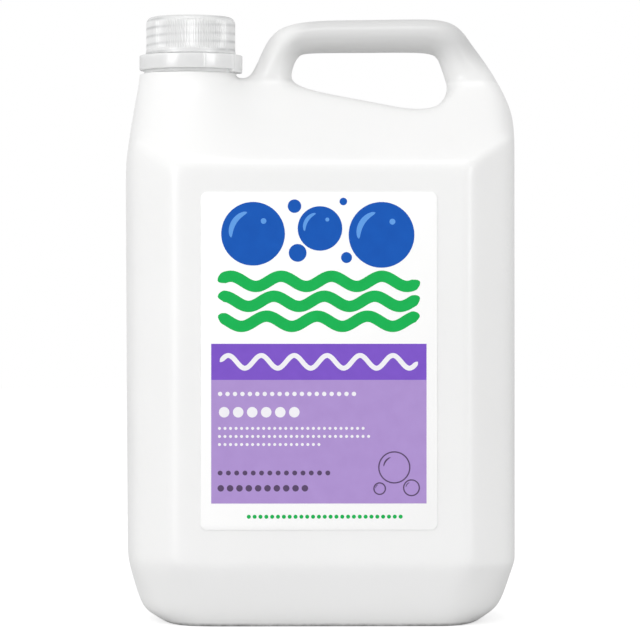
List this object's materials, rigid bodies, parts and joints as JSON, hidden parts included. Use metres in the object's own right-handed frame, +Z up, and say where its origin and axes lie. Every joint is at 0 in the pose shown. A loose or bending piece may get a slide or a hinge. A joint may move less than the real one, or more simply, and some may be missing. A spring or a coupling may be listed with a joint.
{
  "type": "hand soap refill pack",
  "caption": "Hand soap refill pack: white blow-moulded bottle with a moulded-in carrying handle, a fluted screw cap, a tamper ring and a printed front label.",
  "frame": {"origin": "centre of the pack's footprint, on the plane it stands on", "axes": "+Z up, the front with the label faces -Y, the neck is towards -X and the handle runs along X"},
  "size_m": [0.1896, 0.1305, 0.293],
  "materials": {
    "bottle_plastic": "satin",
    "closure_plastic": "satin",
    "wad_foam": "matte",
    "label_film": "satin"
  },
  "bodies": {
    "bottle": {"bottle": "bottle_plastic", "tamper_ring": "closure_plastic", "front_label": "label_film"},
    "cap_liner": {"cap_liner": "wad_foam"},
    "screw_cap": {"screw_cap": "closure_plastic"}
  },
  "joints": [
    {"name": "cap_rise", "type": "slide", "parent": "bottle", "child": "cap_liner", "axis": [0, 0, 1], "range_m": [0, 0.016]},
    {"name": "cap_turn", "type": "hinge", "parent": "cap_liner", "child": "screw_cap", "pos_m": [-0.0631, 0, 0.29], "axis": [0, 0, 1], "range_deg": [0, 1440]}
  ],
  "couplings": [
    {"joint": "cap_rise", "follows": "cap_turn", "m_per_rad": 0.00063662}
  ]
}
